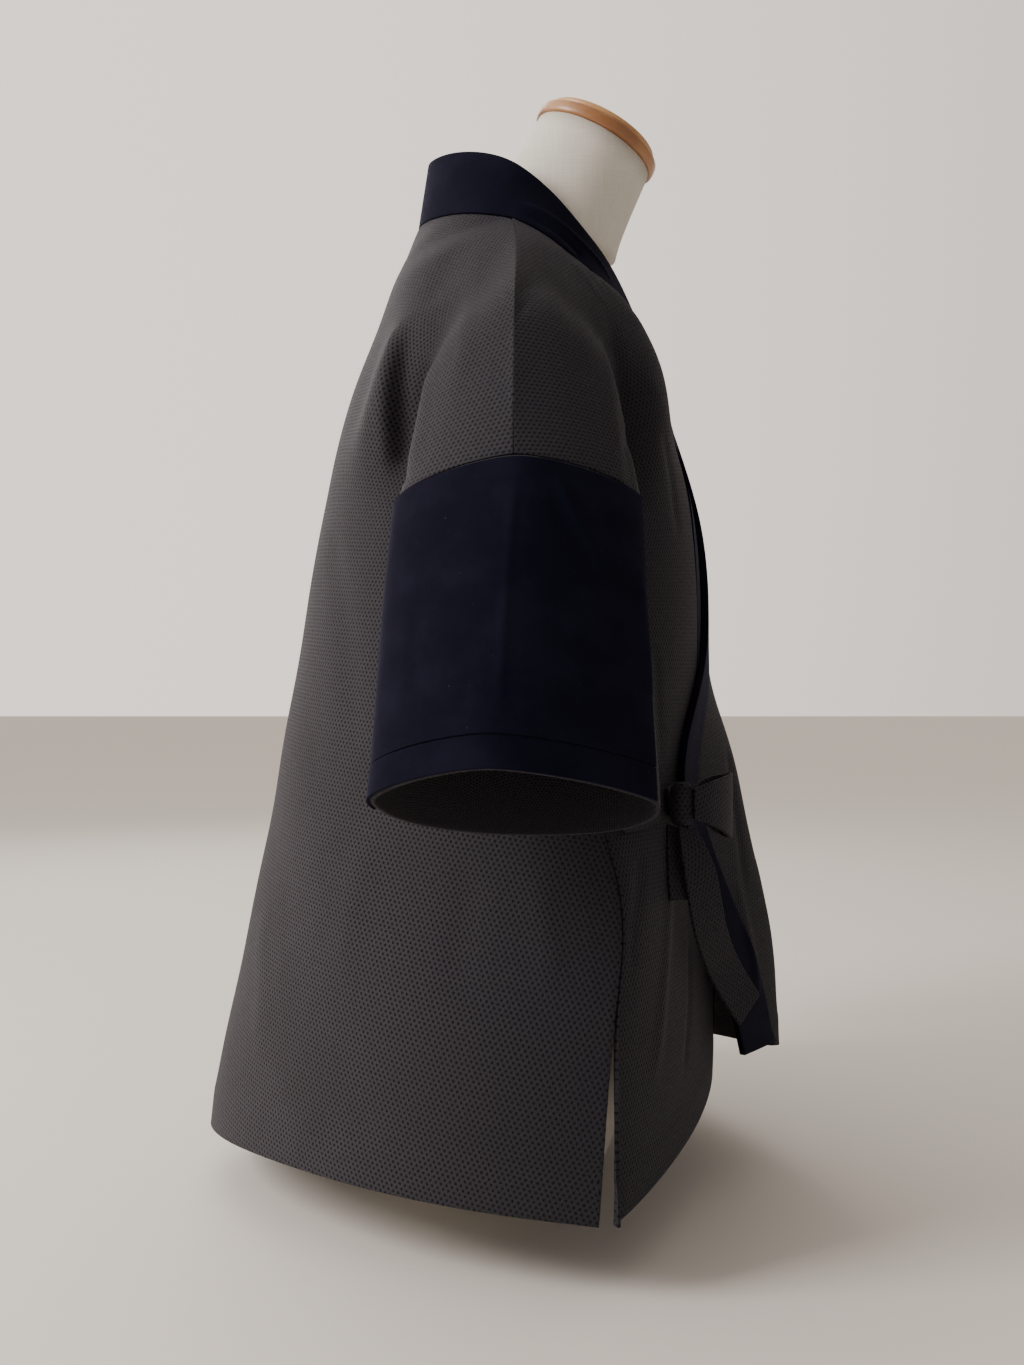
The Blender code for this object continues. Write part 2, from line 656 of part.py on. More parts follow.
def make_body():
    """Back, two fronts and two sleeves, from grids that share their seam points."""
    right_half = half_back()
    left_half = mirrored(right_half)[:, ::-1]
    back = np.concatenate([left_half, right_half[:, 1:]], axis=1)
    right_front = front(outer=False)
    left_front = mirrored(front(outer=True))
    right_sleeve = sleeve()
    left_sleeve = mirrored(right_sleeve)
    panels = {
        "back_panel": (back, normals(back, spine(back))),
        "right_front": (right_front, normals(right_front, spine(right_front))),
        "left_front": (left_front, normals(left_front, spine(left_front))),
    }
    for name, grid in (("right_sleeve", right_sleeve), ("left_sleeve", left_sleeve)):
        middle = np.broadcast_to(grid.mean(axis=1, keepdims=True), grid.shape)
        panels[name] = (grid, normals(grid, middle, closed=True))
    panels["collar_band"] = collar(back, right_front, left_front)
    share_normals(list(panels.values()))
    edges = {
        "back_panel": ("top", "left", "right"),
        "right_front": ("top", "left", "right"),
        "left_front": ("top", "left", "right"),
        "right_sleeve": ("top",),
        "left_sleeve": ("top",),
        "collar_band": ("left",),
    }
    for name, (grid, out) in panels.items():
        drawn = inset(grid, edges[name])
        if name == "collar_band":
            wall(name, drawn, out, BAND_WALL / 2, BAND_WALL / 2, "velvet")
        elif "sleeve" in name:
            wall(name, drawn, out, MESH_WALL / 2, MESH_WALL / 2, "spacer_mesh", closed=True)
        else:
            half = hem_walls(grid)
            wall(name, drawn, out, half, half, "spacer_mesh")
    return panels


def collar(back, right_front, left_front):
    """The band's grid: rows along it from the left hem, round the neck, to the right hem."""
    middle = back.shape[1] // 2
    neck = range(-NECK_STEPS, NECK_STEPS + 1)
    sewn = [left_front[i, -1] for i in range(len(left_front) - 1, 0, -1)]
    sewn += [back[0, middle + i] for i in neck]
    sewn += [right_front[i, -1] for i in range(1, len(right_front))]
    free = [free_edge(left_front, i, True) for i in range(len(left_front) - 1, 0, -1)]
    for i in neck:
        top = neck_top(abs(i) / NECK_STEPS)
        free.append(top * np.array([1, 1 if i >= 0 else -1, 1]))
    free += [free_edge(right_front, i, False) for i in range(1, len(right_front))]
    sewn, free = np.array(sewn), np.array(free)
    grid = np.stack([sewn, mix(sewn, free, 0.34), mix(sewn, free, 0.67), free], axis=1)
    for row in range(len(sewn)):
        for column in (1, 2):
            if grid[row, column, 2] < FRONT_UNDERARM:
                outer = row < len(left_front) - 1
                side = -1 if outer else 1
                point = grid[row, column]
                point[0] = front_x(point[2], side * point[1], outer)
    out = normals(grid, spine(grid) + np.array([0.03, 0, 0]))
    return grid, out


def free_edge(grid, row, outer):
    """The band's free edge beside one row of a front."""
    side = -1 if outer else 1
    if row <= ARMHOLE_STEPS:
        point = lapel_top(row / ARMHOLE_STEPS)
        if outer:
            settle = ease(row / ARMHOLE_STEPS, 0.45, 1.0)
            point += np.array([OUTER_LAYER, OUTER_SHIFT, 0]) * settle
        point[1] *= side
        return point
    sewn = grid[row, -1]
    across = side * sewn[1] + BAND_WIDTH
    return np.array([front_x(sewn[2], across, outer), side * across, sewn[2] + 0.002])


def on_grid(grid, row, column):
    """A point between a grid's own points, on its facets."""
    r = min(int(row), grid.shape[0] - 2)
    c = math.floor(column)
    wide = grid.shape[1]
    upper = mix(grid[r, c % wide], grid[r, (c + 1) % wide], column - c)
    lower = mix(grid[r + 1, c % wide], grid[r + 1, (c + 1) % wide], column - c)
    return mix(upper, lower, row - r)


def make_sleeve_velvet(panels, name):
    """The stitched patch and the cuff band on one sleeve, made from the sleeve's points."""
    grid, out = panels[name]
    crease = ARMHOLE_STEPS
    back = list(range(int(PATCH_BACK), -int(PATCH_FRONT) - 1, -1))
    for part, rows in (("patch", PATCH_ROWS), ("cuff_band", CUFF_ROWS)):
        points, ways = [], []
        for i, row in enumerate(rows):
            cut = PATCH_CORNER[i] if part == "patch" and i < len(PATCH_CORNER) else 0.0
            shift = (PATCH_BACK - int(PATCH_BACK)) * (1 - cut)
            columns = [back[0] + max(shift, 0.05), *back, back[-1] - max(shift, 0.05)]
            points.append([on_grid(grid, row, crease - column) for column in columns])
            ways.append([on_grid(out, row, crease - column) for column in columns])
        points, ways = np.array(points), np.array(ways)
        ways /= np.linalg.norm(ways, axis=2, keepdims=True)
        low = -(MESH_WALL / 2 + LAYER_GAP)
        high = MESH_WALL / 2 + LAYER_GAP + PATCH_WALL
        wall(f"{name.split('_')[0]}_{part}", points, ways, low, high, "velvet")


def ribbon(name, middles, widths, faces):
    """A strip of tie cloth through middles, each with its width and the way that its face looks."""
    middles = np.array(middles, float)
    along = np.gradient(middles, axis=0)
    grid, out = [], []
    for middle, width, face, way in zip(middles, widths, faces, along):
        face = np.array(face, float)
        way = way / np.linalg.norm(way)
        face = face - way * np.dot(face, way)
        face /= np.linalg.norm(face)
        across = np.cross(way, face)
        grid.append([middle + across * width * share for share in (-0.5, -0.17, 0.17, 0.5)])
        out.append([face] * 4)
    wall(name, np.array(grid), np.array(out), TIE_WALL / 2, TIE_WALL / 2, "spacer_mesh")


def table_ribbon(name, table, steps, face=None):
    """A tie from a table of sections. Its face looks outward, or sideways from its own path."""
    marks = even(table)
    middle = point_track(marks, "mark", "xyz")
    width = track(marks, "mark", "width")
    places = np.linspace(0, 1, steps + 1)
    middles = np.array([middle(place) for place in places])
    if face is None:
        ways = np.gradient(middles, axis=0)
        faces = np.cross(ways, np.array([0, 0, 1.0]))
    else:
        faces = [face] * (steps + 1)
    ribbon(name, middles, [width(place) for place in places], faces)


def under_point(height, across):
    """A point of the under front and its direction out of the cloth."""
    step = 0.003
    slope_across = front_x(height, across + step, False) - front_x(height, across - step, False)
    slope_up = front_x(height + step, across, False) - front_x(height - step, across, False)
    out = np.array([2 * step, -slope_across, -slope_up])
    return np.array([front_x(height, across, False), across, height]), out / np.linalg.norm(out)


def lying_tie(name, table, lift):
    """A tie that lies on the under front, made from that panel's points, moved out."""
    points, ways = [], []
    for across, width in zip(table["across"], table["width"]):
        heights = [TIE_HEIGHT + share * width for share in (0.5, 0.17, -0.17, -0.5)]
        spots = [under_point(height, across) for height in heights]
        points.append([spot[0] for spot in spots])
        ways.append([spot[1] for spot in spots])
    low = MESH_WALL / 2 + LAYER_GAP + lift
    wall(name, np.array(points), np.array(ways), -low, low + TIE_WALL, "spacer_mesh")


def make_ties():
    """The side tie and the outer front's tie, tied in a bow with one loop and two tails."""
    lying_tie("side_tie", SIDE_TIE, SIDE_LIFT)
    lying_tie("front_tie", FRONT_TIE, FRONT_LIFT)
    table_ribbon("bow_loop", LOOP, 20)
    table_ribbon("short_tail", SHORT_TAIL, 6, TIE_FACE)
    table_ribbon("long_tail", LONG_TAIL, 12, TIE_FACE)
    make_knot()


def make_knot():
    """The wrapped knot: an upright, rounded block turned to face out from the hip."""
    rows, columns = 8, 16
    verts, faces = [], []
    for r in range(rows + 1):
        tilt = -math.pi / 2 + math.pi * r / rows
        for c in range(columns):
            turn = 2 * math.pi * c / columns
            flat = abs(math.cos(tilt)) ** 0.6
            x = KNOT_HALF[0] * flat * math.copysign(abs(math.cos(turn)) ** 0.8, math.cos(turn))
            y = KNOT_HALF[1] * flat * math.copysign(abs(math.sin(turn)) ** 0.8, math.sin(turn))
            z = KNOT_HALF[2] * math.copysign(abs(math.sin(tilt)) ** 0.7, math.sin(tilt))
            spot = [
                x * math.cos(KNOT_FACE) - y * math.sin(KNOT_FACE),
                x * math.sin(KNOT_FACE) + y * math.cos(KNOT_FACE),
                z,
            ]
            verts.append(np.array(KNOT_MIDDLE) + spot)
    for r in range(rows):
        for c in range(columns):
            n = (c + 1) % columns
            faces.append([r * columns + c, r * columns + n, (r + 1) * columns + n, (r + 1) * columns + c])
    add_mesh("knot", verts, faces, "spacer_mesh", 50)


def make_form():
    """The dress form's body and neck in one, and its two-layer cap."""
    reads = {name: track(FORM, "height", name) for name in FORM if name != "height"}
    rings = []
    heights = list(FORM["height"])
    fine = []
    for low, high in zip(heights, heights[1:]):
        count = 2 if high - low > 0.04 else 1
        fine += [mix(low, high, i / count) for i in range(count)]
    fine.append(heights[-1])
    for height in fine:
        ring = []
        for i in range(FORM_RING_STEPS):
            turn = 2 * math.pi * i / FORM_RING_STEPS
            power = 2 / reads["square"](height)
            c = math.copysign(abs(math.cos(turn)) ** power, math.cos(turn))
            s = math.copysign(abs(math.sin(turn)) ** power, math.sin(turn))
            reach = reads["front"](height) if c > 0 else -reads["back"](height)
            ring.append([reach * c, reads["half"](height) * s, height])
        rings.append(ring)
    base = np.array(NECK_TOP) - NECK_LENGTH * np.array([math.sin(NECK_LEAN), 0, math.cos(NECK_LEAN)])
    for share, radius_x, radius_y, lean in zip(*NECK_RINGS.values()):
        angle = NECK_LEAN * lean
        middle = mix(base, np.array(NECK_TOP), share)
        ring = []
        for i in range(FORM_RING_STEPS):
            turn = 2 * math.pi * i / FORM_RING_STEPS
            x, y = radius_x * math.cos(turn), radius_y * math.sin(turn)
            ring.append(middle + np.array([x * math.cos(angle), y, -x * math.sin(angle)]))
        rings.append(ring)
    rings = np.array(rings)
    rows = len(rings)
    verts = list(rings.reshape(-1, 3))
    faces = []
    for r in range(rows - 1):
        for c in range(FORM_RING_STEPS):
            n = (c + 1) % FORM_RING_STEPS
            low, high = r * FORM_RING_STEPS, (r + 1) * FORM_RING_STEPS
            faces.append([low + c, low + n, high + n, high + c])
    faces.append(list(range(FORM_RING_STEPS)))
    faces.append([(rows - 1) * FORM_RING_STEPS + c for c in range(FORM_RING_STEPS)])
    add_mesh("form_body", verts, faces, "form_cloth", 50)
    lean = np.array([math.sin(NECK_LEAN), 0, math.cos(NECK_LEAN)])
    foot = np.array(NECK_TOP) + CAP_GAP * lean
    disc("form_cap_ring", foot, CAP_RADIUS, CAP_THICK, CAP_ROUND, 0.0)
    disc("form_cap_dome", foot + (CAP_THICK + CAP_GAP) * lean, DOME_RADIUS, DOME_THICK, DOME_ROUND, 0.003)


def disc(name, foot, radius, thick, rounding, crown):
    """A turned disc that leans with the neck, its rim rounded and its top raised by crown."""
    lean = np.array([math.sin(NECK_LEAN), 0, math.cos(NECK_LEAN)])
    across = np.array([math.cos(NECK_LEAN), 0, -math.sin(NECK_LEAN)])
    profile = [(radius - rounding * 0.4, 0.0), (radius, rounding * 0.4), (radius, thick - rounding - crown)]
    for i in range(1, 4):
        angle = math.pi / 6 * i
        up = thick - crown - rounding + rounding * math.sin(angle)
        profile.append((radius - rounding + rounding * math.cos(angle), up))
    profile.append((radius * 0.5, thick - crown * 0.25))
    steps = 36
    verts, faces = [], []
    for r, up in profile:
        for i in range(steps):
            turn = 2 * math.pi * i / steps
            verts.append(foot + up * lean + r * (math.cos(turn) * across + math.sin(turn) * np.array([0, 1, 0])))
    for k in range(len(profile) - 1):
        for i in range(steps):
            n = (i + 1) % steps
            faces.append([k * steps + i, k * steps + n, (k + 1) * steps + n, (k + 1) * steps + i])
    faces.append(list(range(steps)))
    faces.append([(len(profile) - 1) * steps + i for i in range(steps)])
    add_mesh(name, verts, faces, "beech", 35)


def main():
    for item in list(bpy.data.objects):
        bpy.data.objects.remove(item, do_unlink=True)
    panels = make_body()
    make_sleeve_velvet(panels, "right_sleeve")
    make_sleeve_velvet(panels, "left_sleeve")
    make_ties()
    make_form()


main()
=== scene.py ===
# %% [markdown]
# # A samue on a dress form
# A samue is a Japanese work jacket that wraps left over right and closes with ties. This one is
# cut from a thick knitted mesh, with a velvet band round the neck, velvet patches on the sleeves
# and velvet at the cuffs. It hangs on a dress form without arms.
#
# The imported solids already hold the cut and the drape. This file gives each piece of cloth a
# finer skin with its creases, and gives every surface its material.

# %% Load the frame
import json
import math
import random

import bmesh
import bpy
import numpy as np
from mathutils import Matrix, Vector
from mathutils.bvhtree import BVHTree

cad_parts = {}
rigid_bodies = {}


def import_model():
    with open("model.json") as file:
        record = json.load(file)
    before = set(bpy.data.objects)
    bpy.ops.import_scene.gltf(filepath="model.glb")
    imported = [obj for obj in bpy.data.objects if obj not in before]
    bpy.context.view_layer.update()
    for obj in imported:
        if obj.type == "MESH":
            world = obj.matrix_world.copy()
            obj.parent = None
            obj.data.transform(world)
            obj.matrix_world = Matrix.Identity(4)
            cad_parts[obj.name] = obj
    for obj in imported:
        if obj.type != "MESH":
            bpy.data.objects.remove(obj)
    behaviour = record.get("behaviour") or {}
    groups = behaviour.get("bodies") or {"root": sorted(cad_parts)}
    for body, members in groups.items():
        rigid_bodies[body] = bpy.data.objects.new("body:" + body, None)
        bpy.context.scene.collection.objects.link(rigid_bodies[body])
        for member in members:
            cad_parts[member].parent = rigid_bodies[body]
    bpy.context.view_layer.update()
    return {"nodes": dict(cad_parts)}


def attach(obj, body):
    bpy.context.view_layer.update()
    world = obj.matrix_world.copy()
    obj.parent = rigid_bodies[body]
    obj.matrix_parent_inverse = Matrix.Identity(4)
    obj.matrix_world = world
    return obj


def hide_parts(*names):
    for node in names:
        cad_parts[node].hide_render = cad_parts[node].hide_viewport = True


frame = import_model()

for item in bpy.context.scene.objects:
    item.select_set(False)

# %% [markdown]
# ## The camera
# The jacket is seen square on from the wearer's right. The lens is given by how many pixels of the
# picture one metre takes at one metre's distance, so a place in the picture can be turned into a
# ray, and the ray into a place on the cloth. Creases are put down that way.

# %% Camera
PICTURE_WIDTH, PICTURE_HEIGHT = 1024, 1365
PIXELS_PER_METRE = 1350
HORIZON_ROW = 682
SENSOR = 36.0
EYE = Vector((0.0, -1.15, 0.404))

bpy.ops.object.camera_add(location=EYE, rotation=(math.pi / 2, 0, 0))
camera = bpy.context.object
camera.name = "camera"
camera.data.sensor_fit = "VERTICAL"
camera.data.sensor_height = SENSOR
camera.data.lens = SENSOR * PIXELS_PER_METRE / PICTURE_HEIGHT
camera.data.clip_start = 0.01
bpy.context.scene.camera = camera


def ray_through(across, down):
    """The direction from the eye through a place in the picture."""
    x = (across - PICTURE_WIDTH / 2) / PIXELS_PER_METRE
    z = (HORIZON_ROW - down) / PIXELS_PER_METRE
    return Vector((x, 1.0, z)).normalized()


print("Lens:", round(camera.data.lens, 2), "mm")

# %% [markdown]
# ## Shader maths
# A material is easier to read as a sum than as a web of nodes. The class below wraps one socket, so
# that plus, minus and times each add a Math node. Finish has one method that adds any node.

# %% Socket maths
class Value:
    """One output socket that Python's operators can work on."""

    def __init__(self, finish, socket):
        self.finish = finish
        self.socket = socket

    def math(self, operation, *others):
        values = dict(enumerate([self, *others]))
        return self.finish.add("ShaderNodeMath", {"operation": operation}, values)

    def swapped(self, operation, other):
        values = {0: other, 1: self}
        return self.finish.add("ShaderNodeMath", {"operation": operation}, values)

    def __add__(self, other):
        return self.math("ADD", other)

    def __sub__(self, other):
        return self.math("SUBTRACT", other)

    def __mul__(self, other):
        return self.math("MULTIPLY", other)

    def __truediv__(self, other):
        return self.math("DIVIDE", other)

    def __rsub__(self, other):
        return self.swapped("SUBTRACT", other)

    def __rtruediv__(self, other):
        return self.swapped("DIVIDE", other)

    __radd__ = __add__
    __rmul__ = __mul__


# %% Materials
class Finish:
    """A material, its Principled shader, and the one method that adds any node to it."""

    def __init__(self, name, roughness, **constants):
        self.material = bpy.data.materials.new(name)
        self.material.use_nodes = True
        self.tree = self.material.node_tree
        self.shader = self.tree.nodes["Principled BSDF"]
        self.shader.inputs["Roughness"].default_value = roughness
        for socket, value in constants.items():
            self.shader.inputs[socket.replace("_", " ")].default_value = value

    def put(self, socket, value):
        """Gives a socket a value or a link."""
        if isinstance(value, Value):
            self.tree.links.new(value.socket, socket)
        else:
            socket.default_value = value

    def add(self, kind, settings=None, values=None, output=0):
        node = self.tree.nodes.new(kind)
        for name, setting in (settings or {}).items():
            if name == "stops":
                ramp = node.color_ramp
                for place, shade in setting[:-2]:
                    ramp.elements.new(place)
                for element, (place, shade) in zip(ramp.elements, setting):
                    element.position = place
                    element.color = shade
            else:
                setattr(node, name, setting)
        for name, value in (values or {}).items():
            self.put(node.inputs[name], value)
        return Value(self, node.outputs[output])

    def parts(self, vector):
        """A vector's three numbers."""
        node = self.add("ShaderNodeSeparateXYZ", None, {0: vector}).socket.node
        return [Value(self, socket) for socket in node.outputs]

    def noise(self, vector, scale, detail=2.0, roughness=0.5):
        values = {"Vector": vector, "Scale": scale, "Detail": detail, "Roughness": roughness}
        return self.add("ShaderNodeTexNoise", None, values)

    def step(self, value, low, high):
        """0 below low, 1 above high, and a smooth change between."""
        settings = {"interpolation_type": "SMOOTHSTEP"}
        values = {"Value": value, 1: low, 2: high, 3: 0.0, 4: 1.0}
        return self.add("ShaderNodeMapRange", settings, values)

    def blend(self, share, first, second):
        """A colour between two."""
        settings = {"data_type": "RGBA", "blend_type": "MIX"}
        return self.add("ShaderNodeMix", settings, {0: share, 6: first, 7: second}, 2)

    def place(self):
        return self.add("ShaderNodeTexCoord", None, None, "Object")

    def cloth_place(self):
        """The piece's own flat pattern, in metres."""
        return self.add("ShaderNodeUVMap", {"uv_map": "flat"})

    def bump(self, height, distance, strength=1.0):
        values = {"Height": height, "Distance": distance, "Strength": strength}
        self.put(self.shader.inputs["Normal"], self.add("ShaderNodeBump", None, values))

    def colour(self, value):
        self.put(self.shader.inputs["Base Color"], value)

    def roughness(self, value):
        self.put(self.shader.inputs["Roughness"], value)


# %% [markdown]
# ## The mesh knit
# The cloth is a spacer mesh: two knitted faces with a springy layer between them. Small round holes
# lie in staggered rows about 3.5 mm apart, and the yarn between them is a soft, slightly shiny
# black. The holes are far too many to cut, so they are made from the cloth's own flat pattern:
# every cell of a grid, each second row shifted by half, holds a dark dip. The black is painted
# paler towards the back, the side the light comes from, which is painted light. Random patches of darker
# tone lie over it.

# %% Spacer mesh
HOLE_PITCH = 0.0039
HOLE_ROW = 0.0030
HOLE_RADIUS = 0.00105
HOLE_DEPTH = 0.0007


def spacer_mesh(name, yarn, yarn_where_lit, hollow, roughness=0.82):
    f = Finish(name, roughness, Sheen_Weight=0.06, Sheen_Roughness=0.4, Specular_IOR_Level=0.22)
    f.shader.inputs["Sheen Tint"].default_value = (0.70, 0.66, 0.80, 1)
    flat = f.cloth_place()
    u, v, _ = f.parts(flat)
    row = (v / HOLE_ROW).math("FLOOR")
    shift = (row * 0.5).math("FRACT")
    across = ((u / HOLE_PITCH + shift).math("FRACT") - 0.5) * HOLE_PITCH
    down = ((v / HOLE_ROW).math("FRACT") - 0.5) * HOLE_ROW
    away = (across * across + down * down).math("SQRT")
    wobble = f.noise(flat, 900.0, 1.0) * 0.0005
    hole = 1.0 - f.step(away + wobble, HOLE_RADIUS * 0.75, HOLE_RADIUS * 1.45)
    place = f.place()
    x, _, _ = f.parts(place)
    cloudy = f.noise(place, 11.0, 4.0, 0.6)
    # Painted light: the yarn is painted paler towards the back (minus x), the side the light falls on.
    lit_side_share = f.step(x * -1.0 + (cloudy - 0.5) * 0.10, -0.09, 0.20)
    painted_light_yarn = f.blend(lit_side_share, yarn, yarn_where_lit)
    uneven = f.blend(f.step(cloudy, 0.38, 0.70) * 0.35, painted_light_yarn, [c * 0.45 for c in yarn_where_lit[:3]] + [1])
    f.colour(f.blend(hole, uneven, hollow))
    f.roughness(f.step(f.noise(flat, 300.0), 0.3, 0.7) * 0.12 + (roughness - 0.06))
    fuzz = f.noise(flat, 2600.0, 2.0, 0.6)
    f.bump((1.0 - hole) + fuzz * 0.25, HOLE_DEPTH, 0.9)
    return f.material


YARN = (0.0140, 0.0135, 0.0190, 1)
# The paler yarn colour below is painted light for the back, which faces the light.
BACK_LIT_YARN = (0.0370, 0.0325, 0.0390, 1)
HOLLOW = (0.0015, 0.0015, 0.0030, 1)
TIE_YARN = (0.0150, 0.0145, 0.0210, 1)
mesh_cloth = spacer_mesh("spacer_mesh_cloth", YARN, BACK_LIT_YARN, HOLLOW)
tie_cloth = spacer_mesh("tie_mesh_cloth", TIE_YARN, BACK_LIT_YARN, HOLLOW, 0.80)
print("Mesh knit with holes", HOLE_PITCH * 1000, "mm apart")

# %% [markdown]
# ## Velvet
# Velvet is almost black seen straight on and pale at its edges, where the light catches the ends of
# its pile. The shader's sheen gives that. Brushed patches of pile lie a little differently, and
# lint clings to dark velvet as tiny pale specks.

# %% Velvet
VELVET = (0.0026, 0.0026, 0.0090, 1)
VELVET_LIT = (0.0062, 0.0058, 0.0150, 1)
LINT = (0.075, 0.075, 0.100, 1)


def velvet(name, base, lit):
    f = Finish(name, 0.9, Sheen_Weight=0.10, Sheen_Roughness=0.32, Specular_IOR_Level=0.06)
    f.shader.inputs["Sheen Tint"].default_value = (0.50, 0.48, 0.80, 1)
    place = f.place()
    flat = f.cloth_place()
    brushed = f.step(f.noise(place, 26.0, 4.0, 0.6), 0.38, 0.68)
    pile = f.noise(flat, 1900.0, 2.0, 0.7)
    lint = f.step(f.noise(flat, 620.0, 1.0), 0.775, 0.80)
    piled = f.blend(brushed * 0.7 + pile * 0.3, base, lit)
    f.colour(f.blend(lint * 0.55, piled, LINT))
    f.roughness(0.82 + pile * 0.16)
    f.bump(pile + f.noise(flat, 160.0, 3.0) * 0.8, 0.00035, 0.6)
    return f.material


collar_velvet = velvet("collar_velvet", VELVET, VELVET_LIT)
patch_velvet = velvet("patch_velvet", VELVET, VELVET_LIT)

# %% [markdown]
# ## Linen and wood
# The form is covered in plain off-white linen: two crossing sets of threads of uneven thickness.
# Its neck cap is turned from a pale hardwood, with rings and fine pores under a satin varnish.

# %% Linen
LINEN_THREAD = 0.00075


def linen(name):
    f = Finish(name, 0.88, Sheen_Weight=0.15, Sheen_Roughness=0.5, Specular_IOR_Level=0.25)
    flat = f.cloth_place()
    u, v, _ = f.parts(flat)
    uneven = f.noise(flat, 60.0, 3.0) * 1.3
    warp = ((u / LINEN_THREAD + uneven) * math.tau).math("SINE")
    weft = ((v / LINEN_THREAD - uneven) * math.tau).math("SINE")
    over = f.step(warp * weft, -0.6, 0.6)
    slub_u = f.add("ShaderNodeCombineXYZ", None, {0: u * 900.0, 1: v * 28.0, 2: 0.0})
    slub_v = f.add("ShaderNodeCombineXYZ", None, {0: u * 28.0, 1: v * 900.0, 2: 0.0})
    slubs = f.noise(slub_u, 1.0, 2.0) + f.noise(slub_v, 1.0, 2.0)
    shade = f.step(slubs, 0.75, 1.3)
    weave = f.blend(over * 0.35 + shade * 0.65, (0.70, 0.655, 0.57, 1), (0.80, 0.765, 0.69, 1))
    soiled = f.step(f.noise(f.place(), 9.0, 4.0), 0.45, 0.75)
    f.colour(f.blend(soiled * 0.25, weave, (0.62, 0.57, 0.48, 1)))
    f.bump(warp + weft + slubs * 0.8, 0.00012, 0.7)
    return f.material


linen_cloth = linen("form_linen")

# %% Wood
NECK_LEAN = math.radians(27)


def turned_wood(name, light, dark):
    f = Finish(name, 0.42, Coat_Weight=0.25, Coat_Roughness=0.3)
    turned = f.add("ShaderNodeMapping", {"vector_type": "POINT"}, {
        "Vector": f.place(),
        "Rotation": (0.0, -NECK_LEAN, 0.0),
        "Scale": (9.0, 46.0, 60.0),
    })
    waver = f.noise(turned, 0.8, 3.0)
    x, y, z = f.parts(turned)
    rings = ((y + z * 0.35 + waver * 3.2) * 2.2).math("SINE")
    grain = f.step(rings, -1.0, 1.0)
    pores = f.step(f.noise(turned, 16.0, 3.0, 0.7), 0.60, 0.72)
    wood = f.blend(grain * 0.75 + waver * 0.25, light, dark)
    f.colour(f.blend(pores * 0.5, wood, [c * 0.45 for c in dark[:3]] + [1]))
    f.roughness(0.36 + grain * 0.10 + pores * 0.2)
    f.bump(grain * 0.4 - pores, 0.0002, 0.5)
    return f.material


cap_wood = turned_wood("cap_wood", (0.60, 0.33, 0.14, 1), (0.42, 0.19, 0.065, 1))
rim_wood = turned_wood("rim_wood", (0.42, 0.20, 0.08, 1), (0.25, 0.10, 0.035, 1))

print("Materials:", len(bpy.data.materials))

# %% [markdown]
# ## From a solid to a sheet of cloth
# Each cloth solid is a closed wall. The finer piece starts from the wall's outer side alone: the
# edges that cross the wall are exactly as long as the wall is thick, so the faces that have one
# are the wall's rim, and what is left falls into an outer and an inner skin.
#
# The outer skin is unwrapped as a tailor's pattern and scaled to metres, so the knit runs along
# the cloth. Then it is subdivided, creased, and given its thickness again.

# %% Outer skin of a wall
WELD = 1e-5
SAME_LENGTH = 6e-6


def body_middle(place):
    return Vector((0.01, 0.0, place.z))


def sleeve_middle(side):
    """Where the middle of a sleeve's tube is beside a place on it."""
    top = Vector((0.004, side * 0.236, 0.5275))
    way = (Vector((0.002, side * 0.315, 0.3285)) - top).normalized()
    return lambda place: top + way * (place - top).dot(way)


def islands(faces):
    """Groups of faces that share edges."""
    left = set(faces)
    groups = []
    while left:
        todo = [left.pop()]
        group = set(todo)
        while todo:
            for edge in todo.pop().edges:
                for face in edge.link_faces:
                    if face in left:
                        left.discard(face)
                        group.add(face)
                        todo.append(face)
        groups.append(group)
    return groups


def outwardness(faces, middle):
    total = 0.0
    for face in faces:
        centre = face.calc_center_median()
        total += face.calc_area() * face.normal.dot(centre - middle(centre))
    return total


def outer_skin(node, middle, walls):
    """The outer side of a cloth solid, as an open mesh of quads."""
    work = bmesh.new()
    work.from_mesh(frame["nodes"][node].data)
    bmesh.ops.remove_doubles(work, verts=work.verts, dist=WELD)
    work.normal_update()
    rims = set()
    for edge in work.edges:
        if any(abs(edge.calc_length() - wall) < SAME_LENGTH for wall in walls):
            rims.update(edge.link_faces)
    groups = islands(set(work.faces) - rims)
    groups = [group for group in groups if outwardness(group, middle) > 0]
    skin = max(groups, key=lambda group: sum(face.calc_area() for face in group))
    bmesh.ops.delete(work, geom=[face for face in work.faces if face not in skin], context="FACES")
    bmesh.ops.holes_fill(work, edges=[edge for edge in work.edges if edge.is_boundary], sides=4)
    bmesh.ops.join_triangles(
        work,
        faces=work.faces,
        angle_face_threshold=math.radians(40),
        angle_shape_threshold=math.radians(60),
    )
    return work


def new_piece(name, work):
    """An object at the origin with the mesh worked on."""
    mesh = bpy.data.meshes.new(name)
    work.to_mesh(mesh)
    work.free()
    piece = bpy.data.objects.new(name, mesh)
    bpy.context.scene.collection.objects.link(piece)
    return piece


def alone(piece):
    """Selects one piece and makes it active."""
    bpy.ops.object.select_all(action="DESELECT")
    piece.select_set(True)
    bpy.context.view_layer.objects.active = piece


